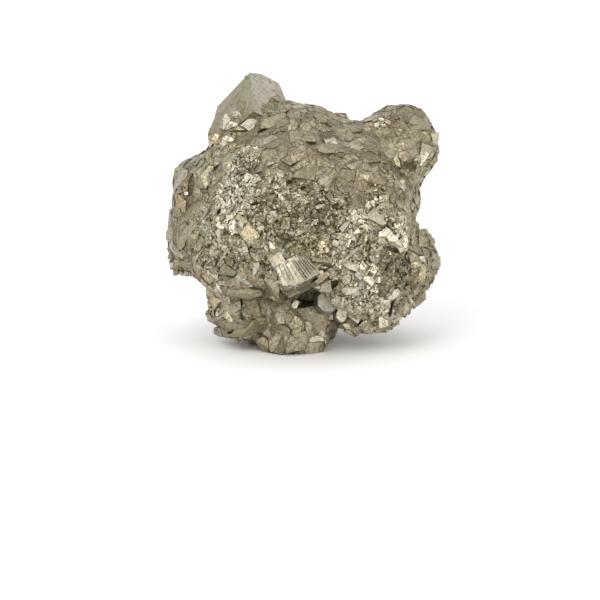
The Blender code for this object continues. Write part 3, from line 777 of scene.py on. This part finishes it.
def split(rng, crystal):
    """The crystal parted by a few planes into blocks, whose tops lie a little lower or lean."""
    blocks = [crystal["solid"]]
    for _ in range(crystal["cuts"]):
        largest = max(blocks, key=spread)
        blocks.remove(largest)
        middle = sum(largest[0], Vector()) / len(largest[0])
        angle = rng.normal(0, CUT_TURN) + rng.integers(2) * math.pi / 2
        way = Vector((math.cos(angle), math.sin(angle), rng.normal(0, CUT_LEAN))).normalized()
        way = crystal["turn"] @ way
        level = way.dot(middle) + rng.normal(0, CUT_SHIFT) * crystal["half"]
        halves = [clipped(largest, way, level - crystal["gap"] / 2),
                  clipped(largest, -way, -level - crystal["gap"] / 2)]
        blocks += [half for half in halves if half]
    made = []
    for block in blocks:
        lean = Vector((*rng.normal(0, math.radians(BLOCK_TILT), 2), 1)).normalized()
        way = crystal["turn"] @ lean if crystal["cuts"] else crystal["normal"]
        top = max(corner.dot(way) for corner in block[0])
        lowered = clipped(block, way, top - rng.uniform(0, STEP) * MM) if crystal["cuts"] else block
        if lowered:
            made.append({**crystal, "solid": lowered})
    return made


def spread(solid):
    """The longest way from a solid's first corner to another."""
    return max((corner - solid[0][0]).length for corner in solid[0])


# The named crystals of the front.

def looking(facing, along):
    """A rotation that sets local +Z to facing, and local +X as near to along as that lets it."""
    deep = Vector(facing).normalized()
    across = deep.cross(Vector(along)).normalized()
    return Matrix((across.cross(deep), across, deep)).transposed()


def seen_turn(right, up, along):
    """The turn of a block whose face looks that far to the right and up, and is long that way as seen."""
    right, up, along = (math.radians(angle) for angle in (right, up, along))
    facing = (math.sin(right) * math.cos(up), -math.cos(right) * math.cos(up), math.sin(up))
    return looking(facing, (math.cos(along), 0, math.sin(along)))


def named_crystal(solid, turn, look, lined=0.0, margin=NAMED_MARGIN, rugged=NAMED_WORMS_AND_GLINTS):
    """A crystal with a place of its own, inside the box, and the planes that keep others off it."""
    for normal, level in zip(*box_planes()):
        solid = clipped(solid, Vector(normal), level)
    normals, levels = planes_of(solid)
    middle = sum(solid[0], Vector()) / len(solid[0])
    reach = max((corner - middle).length for corner in solid[0])
    return {"solid": solid, "turn": turn, "look": look, "lined": lined, "middle": np.array(middle),
            "reach": reach, "normals": normals, "levels": levels, "margin": margin * MM,
            "rugged": rugged}


def peak_block():
    """The block at the top, whose right face, the one turned to the light, is painted paler: painted
    light.
    """
    turn = looking(PEAK_RIGHT_FACE, PEAK_LEFT_FACE)
    solid = cube()
    for way, depth in PEAK_CHIPS:
        solid = clipped(solid, (turn.inverted() @ Vector(way)).normalized(), depth)
    solid = placed(solid, Vector(PEAK_MIDDLE) * MM, turn, [PEAK_HALF * MM] * 3)
    block = named_crystal(solid, turn, "tan", margin=PEAK_MARGIN, rugged=PEAK_WORMS_AND_GLINTS)
    return {**block, "lit_face_way": Vector(PEAK_RIGHT_FACE), "painted_lit_look": "pale"}


def striated_block(tree, camera, rng):
    """The block over the hollow: its body, and a roof for each ridge of its face."""
    turn = seen_turn(*BLOCK_FACE)
    long, wide, deep = BLOCK_HALF
    top = at_pixel(tree, camera, BLOCK_PIXEL) + turn.col[2] * BLOCK_PROUD * MM
    base = top - turn.col[2] * (deep + RIDGE_HEIGHT) * MM
    body = placed(plate(rng), base, turn, [size * MM for size in BLOCK_HALF])
    parts = [named_crystal(body, turn, "grey")]
    bright, plain = RIDGE_WIDTHS
    pitches = [bright] * BRIGHT_RIDGES + [plain] * (RIDGES - BRIGHT_RIDGES)
    shares = np.array(pitches) / sum(pitches)
    first, last = RIDGE_FAN
    for number, (pitch, edge) in enumerate(zip(2 * wide * shares, 2 * wide * shares.cumsum() - wide)):
        across = edge - pitch / 2
        fan = first + (last - first) * number / (RIDGES - 1)
        ridge_turn = turn @ Matrix.Rotation(math.radians(fan), 3, "Z")
        reach = long * rng.uniform(*RIDGE_REACH)
        along = rng.uniform(-1, 1) * (long - reach)
        solid = cube()
        slope = rng.uniform(0.5, 0.9)
        for side in (-1, 1):
            solid = clipped(solid, Vector((0, side, slope)).normalized(), rng.uniform(0.75, 0.9))
            end = Vector((side, 0, rng.uniform(0.2, 0.8))).normalized()
            solid = clipped(solid, end, rng.uniform(0.9, 1.05))
        middle = top + turn @ Vector((along, across, -RIDGE_HEIGHT)) * MM
        sizes = [reach, pitch * rng.uniform(0.5, 0.62), RIDGE_HEIGHT * rng.uniform(0.8, 1.1)]
        solid = placed(solid, middle, ridge_turn, [size * MM for size in sizes])
        look = "cream" if number < BRIGHT_RIDGES else "grey"
        parts.append(named_crystal(solid, ridge_turn, look))
    return parts


def front_crystals(tree, camera, rng):
    """The peak's block, the striated block and the other crystals that have a place of their own."""
    named = [peak_block()] + striated_block(tree, camera, rng)
    for name, pixel, half, aim, proud, look in FRONT_CRYSTALS:
        turn = seen_turn(*aim)
        top = at_pixel(tree, camera, pixel) + turn.col[2] * proud * MM
        middle = top - turn.col[2] * half[2] * MM
        shape = knob(rng) if name in ROUND_CRYSTALS else plate(rng)
        solid = placed(shape, middle, turn, [size * MM for size in half])
        seed = top - turn.col[2] * (proud + CORE_SINK) * MM
        solid = trimmed(tree, solid, seed, (proud + NAMED_RISE) * MM)
        named.append(named_crystal(solid, turn, look, NAMED_LINED if name in LINED_CRYSTALS else 0.0))
    return named


def hollows(tree, camera, rng):
    """The blocks that are taken out of the mass. The hollows leave faces with the dark look, painted
    shade; the cut beside the peak leaves tan.
    """
    made = []
    for _, pixel, half, aim in HOLLOWS:
        turn = seen_turn(*aim)
        solid = placed(knob(rng), at_pixel(tree, camera, pixel), turn, [size * MM for size in half])
        made.append(named_crystal(solid, turn, "dark", margin=0.0))
    turn = looking(PEAK_SHOULDER_WAY, PEAK_SHOULDER_LONG)
    middle = (Vector(PEAK_SHOULDER) + turn.col[2] * PEAK_SHOULDER_HALF[2]) * MM
    solid = placed(cube(), middle, turn, [size * MM for size in PEAK_SHOULDER_HALF])
    made.append(named_crystal(solid, turn, "tan", margin=0.0))
    return made


def set_faces(mesh, name, values):
    """Store a value, or a vector of three, for each face."""
    is_vector = len(values) > len(mesh.polygons)
    kind, field = ("FLOAT_VECTOR", "vector") if is_vector else ("FLOAT", "value")
    mesh.attributes.new(name, kind, "FACE").data.foreach_set(field, values)


def face_mesh(name, crystals, rng):
    """One mesh of many crystals, whose faces know their colour, roughness and stripes."""
    points, faces, looks, turns, shades, lines, rugged = [], [], [], [], [], [], []
    for crystal in crystals:
        corners, sides = crystal["solid"]
        start = len(points)
        points += [corner[:] for corner in corners]
        faces += [[start + corner for corner in face] for face in sides]
        looks += side_looks(crystal)
        turns += [np.array(crystal["turn"]).T] * len(sides)
        shades += [rng.normal(1, CRYSTAL_SHADES)] * len(sides)
        lines += [crystal["lined"]] * len(sides)
        rugged += [crystal["rugged"]] * len(sides)
    mesh = bpy.data.meshes.new(name)
    mesh.from_pydata(points, [], faces)
    set_looks(mesh, looks, np.array(shades), rng)
    set_faces(mesh, "lined", lines)
    set_faces(mesh, "rugged", rugged)
    normals = np.zeros(len(faces) * 3)
    mesh.polygons.foreach_get("normal", normals)
    axes = np.array(turns)
    facing = np.abs(np.einsum("fij,fj->fi", axes, normals.reshape(-1, 3))).argmax(axis=1)
    set_faces(mesh, "stripe", axes[np.arange(len(faces)), (facing + 1) % 3].ravel())
    return mesh


def side_looks(crystal):
    """The look of each of its sides: one for all, unless those that look one way have their own, painted
    paler as lit.
    """
    looks = [crystal["look"]] * len(crystal["solid"][1])
    if "lit_face_way" in crystal:
        for number, normal in enumerate(planes_of(crystal["solid"])[0]):
            if Vector(normal).dot(crystal["lit_face_way"].normalized()) > 0.8:
                looks[number] = crystal["painted_lit_look"]
    return looks


def set_looks(mesh, looks, shades, rng):
    """Store each face's colour and roughness, with a little chance in both."""
    count = len(looks)
    colours = np.array([LOOKS[look][0] for look in looks]) * shades[:, None]
    colours *= rng.normal(1, FACE_SHADES, (count, 1)) * rng.normal(1, HUE_CHANCE, (count, 3))
    roughness = np.array([LOOKS[look][1] for look in looks])
    set_faces(mesh, "tint", colours.ravel())
    set_faces(mesh, "rough", roughness + rng.uniform(-ROUGH_CHANCE, ROUGH_CHANCE, count))


def fused(mass, mesh, operation="UNION"):
    """Join a mesh of crystals that don't touch each other to the mass, or take them out of it."""
    operand = linked("crystals", mesh)
    boolean = mass.modifiers.new("boolean", "BOOLEAN")
    boolean.operation = operation
    boolean.solver = "MANIFOLD"
    boolean.object = operand
    old = mass.data
    mass.data = evaluated_mesh(mass)
    mass.modifiers.clear()
    bpy.data.meshes.remove(old)
    removed(operand)


# Materials.

def added(tree, kind, inputs, **settings):
    """The outputs of a new node, whose inputs are plain values or other nodes' outputs."""
    made = tree.nodes.new("ShaderNode" + kind)
    for name, value in settings.items():
        setattr(made, name, value)
    for socket, value in inputs.items():
        if isinstance(value, bpy.types.NodeSocket):
            tree.links.new(value, made.inputs[socket])
        else:
            made.inputs[socket].default_value = value
    return made.outputs


def texture(tree, place, scale, detail, dimensions="3D", distortion=0.0):
    """A noise of that many features to the millimetre."""
    inputs = {"W" if dimensions == "1D" else "Vector": place, "Scale": scale / MM, "Detail": detail,
              "Distortion": distortion}
    return added(tree, "TexNoise", inputs, noise_dimensions=dimensions)["Fac"]


def ranged(tree, value, source, target):
    """The value moved from one range to another, and held inside it."""
    inputs = {"Value": value, "From Min": source[0], "From Max": source[1], "To Min": target[0],
              "To Max": target[1]}
    return added(tree, "MapRange", inputs)[0]


def combined(tree, operation, first, second=0.0):
    return added(tree, "Math", {0: first, 1: second}, operation=operation)[0]


def blended(tree, mode, share, first, second):
    return added(tree, "Mix", {0: share, 6: first, 7: second}, data_type="RGBA", blend_type=mode)[2]


def bumped(tree, height, depth, strength, under):
    inputs = {"Height": height, "Distance": depth * MM, "Strength": strength, "Normal": under}
    return added(tree, "Bump", inputs)["Normal"]


def attribute(tree, name, output):
    return added(tree, "Attribute", {}, attribute_name=name)[output]


def curves(tree, place, scale, width, strength=1.0):
    """The strength on the thin wandering lines where a noise crosses its middle, and 0 elsewhere."""
    noise = texture(tree, place, scale, 2.5, distortion=0.8)
    distance = combined(tree, "ABSOLUTE", combined(tree, "SUBTRACT", noise, 0.5))
    return ranged(tree, distance, (0.0, width), (strength, 0.0))


def pyrite_material():
    """Tarnished metal: each face has its own colour, under patches, stains, fine lines and dark cracks,
    with painted highlights for glints and painted shade where crystals close in on each other.
    """
    made = bpy.data.materials.new("pyrite_faces")
    made.use_nodes = True
    tree = made.node_tree
    shader = tree.nodes["Principled BSDF"]
    shader.inputs["Metallic"].default_value = 1.0
    place = added(tree, "TexCoord", {})["Object"]
    patches = texture(tree, place, 0.22, 3)
    stains = texture(tree, place, 1.1, 4)
    specks = texture(tree, place, 4.0, 3)
    worms = curves(tree, place, 0.7, 0.045)
    rugged = attribute(tree, "rugged", "Fac")

    film = ranged(tree, patches, (0.35, 0.65), (0.0, 1.0))
    tarnish = blended(tree, "MIX", film, *TARNISH)
    colour = blended(tree, "MULTIPLY", 1.0, attribute(tree, "tint", "Vector"), tarnish)
    colour = blended(tree, "MIX", ranged(tree, stains, (0.56, 0.74), (0.0, 0.45)), colour, STAIN)
    colour = blended(tree, "MULTIPLY", 1.0, colour, ranged(tree, specks, (0.3, 0.7), (0.86, 1.12)))
    # The glints are painted highlights, and the ambient occlusion paints shade where other faces are near.
    open_sky = added(tree, "AmbientOcclusion", {"Distance": SHADE_REACH * MM}, samples=8, only_local=True)
    marks = (
        (combined(tree, "MULTIPLY", rugged, curves(tree, place, 1.0, 0.040, 0.7)), GLINT),
        (combined(tree, "MULTIPLY", rugged, ranged(tree, worms, (0, 1), (0, 0.9))), WORM),
        (curves(tree, place, 0.40, 0.018, 0.85), CRACK),
        (ranged(tree, open_sky["AO"], (0.2, 0.94), (0.8, 0.0)), SHADE),
    )
    for share, mark in marks:
        colour = blended(tree, "MIX", share, colour, mark)
    tree.links.new(colour, shader.inputs["Base Color"])

    haze = ranged(tree, specks, (0.3, 0.7), (-0.06, 0.10))
    roughness = combined(tree, "ADD", attribute(tree, "rough", "Fac"), haze)
    roughness = combined(tree, "ADD", roughness, ranged(tree, stains, (0.5, 0.75), (0.0, 0.15)))
    tree.links.new(roughness, shader.inputs["Roughness"])

    stripe = attribute(tree, "stripe", "Vector")
    across = added(tree, "VectorMath", {0: place, 1: stripe}, operation="DOT_PRODUCT")["Value"]
    lines = texture(tree, across, 3.0, 2, "1D")
    normal = added(tree, "Bevel", {"Radius": EDGE_WEAR * MM}, samples=4)["Normal"]
    normal = bumped(tree, stains, 0.15, 0.4, normal)
    normal = bumped(tree, specks, 0.03, 0.4, normal)
    normal = bumped(tree, ranged(tree, worms, (0, 1), (1, 0)), 0.05, rugged, normal)
    normal = bumped(tree, lines, 0.07, attribute(tree, "lined", "Fac"), normal)
    tree.links.new(normal, shader.inputs["Normal"])
    return made


# The studio.

def area_light(name, spot, size, power):
    data = bpy.data.lights.new(name, "AREA")
    data.shape = "RECTANGLE"
    data.size, data.size_y = size
    data.energy = power
    made = bpy.data.objects.new(name, data)
    made.location = spot
    made.rotation_euler = (Vector(LIGHT_AIM) - Vector(spot)).to_track_quat("-Z", "Y").to_euler()
    bpy.context.scene.collection.objects.link(made)


def studio_sky(tree):
    """A soft room: bright overhead, dimmer towards the viewer's side, and white to the camera."""
    way = added(tree, "SeparateXYZ", {0: added(tree, "TexCoord", {})["Generated"]})
    height = ranged(tree, way["Z"], (-0.1, 0.9), (1.0, 1.12))
    side = ranged(tree, way["Y"], (-1.0, 0.3), (0.8, 1.0))
    room = combined(tree, "MULTIPLY", height, side)
    seen = added(tree, "LightPath", {})["Is Camera Ray"]
    strength = added(tree, "Mix", {0: seen, 2: room, 3: 1.0}, data_type="FLOAT")[0]
    background = tree.nodes["Background"]
    tree.links.new(strength, background.inputs["Strength"])
    background.inputs["Color"].default_value = (1, 1, 1, 1)


def make_floor():
    mesh = bpy.data.meshes.new("floor")
    corners = [(x * FLOOR_REACH, y * FLOOR_REACH, 0) for x, y in ((-1, -1), (1, -1), (1, 1), (-1, 1))]
    mesh.from_pydata(corners, [], [(0, 1, 2, 3)])
    floor = linked("floor", mesh)
    pale = bpy.data.materials.new("pale_floor")
    pale.use_nodes = True
    shader = pale.node_tree.nodes["Principled BSDF"]
    shader.inputs["Base Color"].default_value = FLOOR_COLOUR
    shader.inputs["Roughness"].default_value = 0.7
    mesh.materials.append(pale)


def make_studio():
    scene = bpy.context.scene
    scene.view_settings.view_transform = "Standard"
    scene.world = bpy.data.worlds.new("studio")
    scene.world.use_nodes = True
    studio_sky(scene.world.node_tree)
    for light in LIGHTS:
        area_light(*light)
    make_floor()


# The whole.

def mark_core(core, rng):
    """Give the mass under the crystals the look of the ground between them."""
    count = len(core.polygons)
    set_looks(core, ["ground"] * count, np.ones(count), rng)
    set_faces(core, "stripe", np.zeros(count * 3))
    set_faces(core, "lined", np.zeros(count))
    set_faces(core, "rugged", np.full(count, CORE_WORMS_AND_GLINTS))


def main():
    rng = np.random.default_rng(SEED)
    camera = make_camera()
    base = worn(welded(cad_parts[NODE].data))
    form = swollen(base, FORM_RISE * MM)
    core = swollen(base, (FORM_RISE - CORE_SINK) * MM)
    mass = linked(MAIN_PIECE, form)
    tree = BVHTree.FromObject(mass, bpy.context.evaluated_depsgraph_get())
    mass.data = core
    zones = zones_of(tree, camera)
    named = front_crystals(tree, camera, rng)
    holes = hollows(tree, camera, rng)
    points, normals = surface_points(rng, form, TRIES)
    numbers = zone_numbers(zones, points)
    chosen, halves = chosen_seeds(rng, points, numbers, zones)
    stopping, loose = grown(rng, tree, points[chosen], normals[chosen], halves, numbers[chosen], zones)
    blocks = [block for crystal in parted(stopping, named + holes) for block in split(rng, crystal)]
    loose = kept_clear(loose, named + holes)
    mark_core(core, rng)
    # Cut the hollows out: the faces they leave are painted dark, as shade.
    for hole in holes:
        fused(mass, face_mesh("hollow", [hole], rng), "DIFFERENCE")
    fused(mass, face_mesh("blocks", blocks, rng))
    front = linked("named", face_mesh("named", named[:1], rng))
    for crystal in named[1:]:
        fused(front, face_mesh("crystal", [crystal], rng))
    fused(mass, front.data)
    grains = linked(GRAIN_PIECE, face_mesh(GRAIN_PIECE, loose, rng))
    material = pyrite_material()
    for piece in (mass, grains):
        piece.data.validate()
        piece.data.materials.clear()
        piece.data.materials.append(material)
        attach(piece, "root")
    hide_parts(NODE)
    make_studio()


main()
